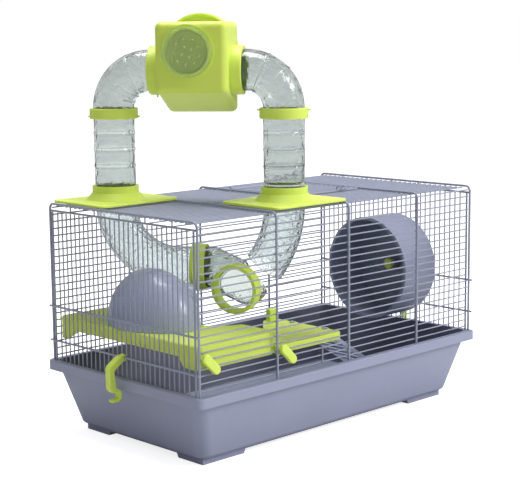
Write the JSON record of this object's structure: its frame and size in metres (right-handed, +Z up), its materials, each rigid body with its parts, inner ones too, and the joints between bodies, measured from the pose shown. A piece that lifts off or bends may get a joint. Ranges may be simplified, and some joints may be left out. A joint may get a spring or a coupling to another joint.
{
  "type": "hamster cage",
  "caption": "Small-animal cage: plastic tray, lift-off wire top with roof flap, running wheel, shelves, ladder and house, and clear tubes rising to a nest box over the roof.",
  "frame": {"origin": "on the floor, under the middle of the tray", "axes": "+X along the cage towards the wheel, +Y across it towards the back, +Z up"},
  "size_m": [0.551, 0.292, 0.5255],
  "materials": {
    "tray_plastic": "moulded, satin",
    "coated_wire": "powder coated",
    "green_plastic": "moulded, gloss",
    "clear_plastic": "clear, moulded",
    "wheel_plastic": "moulded, satin",
    "house_plastic": "moulded, satin"
  },
  "bodies": {
    "base": {"base_tray": "tray_plastic"},
    "wire_top": {"hoop_1": "coated_wire", "hoop_2": "coated_wire", "hoop_3": "coated_wire", "hoop_4": "coated_wire", "hoop_5": "coated_wire", "front_wires": "coated_wire", "back_wires": "coated_wire", "front_spacer_wire": "coated_wire", "roof_wires": "coated_wire", "left_end_wires": "coated_wire", "left_end_rails": "coated_wire", "left_end_posts": "coated_wire", "right_end_wires": "coated_wire", "right_end_rails": "coated_wire", "right_end_posts": "coated_wire", "roof_door_hinge_wire": "coated_wire", "left_port_plate": "green_plastic", "right_port_plate": "green_plastic", "left_inner_bend": "clear_plastic", "inner_joint_ring": "green_plastic", "right_inner_bend": "clear_plastic", "inner_tee": "clear_plastic", "outlet_ring": "green_plastic", "upper_shelf": "green_plastic", "lower_shelf": "green_plastic", "wheel_axle": "wheel_plastic", "wheel_hub_cap": "green_plastic", "wheel_bracket": "wheel_plastic"},
    "tube_arch": {"left_upper_tube": "clear_plastic", "left_joint_ring": "green_plastic", "left_elbow": "clear_plastic", "right_upper_tube": "clear_plastic", "right_joint_ring": "green_plastic", "right_elbow": "clear_plastic", "nest_box": "green_plastic"},
    "window": {"window_cap": "clear_plastic"},
    "lid": {"nest_box_lid": "green_plastic"},
    "wheel": {"wheel_drum": "wheel_plastic"},
    "roof_door": {"roof_door_frame": "coated_wire", "roof_door_bars": "coated_wire", "roof_door_catch": "coated_wire"},
    "upper_clip": {"upper_shelf_clip": "green_plastic"},
    "lower_clip": {"lower_shelf_clip": "green_plastic"},
    "left_latch": {"left_base_latch": "green_plastic"},
    "right_latch": {"right_base_latch": "green_plastic"},
    "ladder": {"ladder": "house_plastic"},
    "house": {"house": "house_plastic"}
  },
  "joints": [
    {"name": "wire_top_lift", "type": "slide", "parent": "base", "child": "wire_top", "axis": [0, 0, 1], "range_m": [0, 0.25]},
    {"name": "tube_arch_lift", "type": "slide", "parent": "wire_top", "child": "tube_arch", "axis": [0, 0, 1], "range_m": [0, 0.06]},
    {"name": "window_pull", "type": "slide", "parent": "tube_arch", "child": "window", "axis": [-0.7976, -0.6032, 0], "range_m": [0, 0.012]},
    {"name": "lid_pull", "type": "slide", "parent": "tube_arch", "child": "lid", "axis": [0.7976, 0.6032, 0], "range_m": [0, 0.02]},
    {"name": "wheel_spin", "type": "hinge", "parent": "wire_top", "child": "wheel", "pos_m": [0.23, -0.018, 0.1745], "axis": [1, 0, 0], "continuous": true},
    {"name": "roof_door_swing", "type": "hinge", "parent": "wire_top", "child": "roof_door", "pos_m": [0.0695, 0.0855, 0.2915], "axis": [-1, 0, 0], "range_deg": [0, 110]},
    {"name": "upper_clip_twist", "type": "hinge", "parent": "wire_top", "child": "upper_clip", "pos_m": [-0.2343, -0.138, 0.129], "axis": [0, 1, 0], "range_deg": [-45, 45]},
    {"name": "lower_clip_twist", "type": "hinge", "parent": "wire_top", "child": "lower_clip", "pos_m": [-0.11, -0.138, 0.12], "axis": [0, 1, 0], "range_deg": [-45, 45]},
    {"name": "left_latch_swing", "type": "hinge", "parent": "wire_top", "child": "left_latch", "pos_m": [-0.2513, -0.00435, 0.1175], "axis": [0, 1, 0], "range_deg": [0, 60]},
    {"name": "right_latch_swing", "type": "hinge", "parent": "wire_top", "child": "right_latch", "pos_m": [0.2513, -0.00435, 0.1175], "axis": [0, -1, 0], "range_deg": [0, 60]},
    {"name": "ladder_tilt", "type": "hinge", "parent": "wire_top", "child": "ladder", "pos_m": [-0.0065, -0.08, 0.1265], "axis": [0, -1, 0], "range_deg": [0, 26]},
    {"name": "house_slide", "type": "slide", "parent": "wire_top", "child": "house", "axis": [0, -1, 0], "range_m": [0, 0.04]}
  ]
}
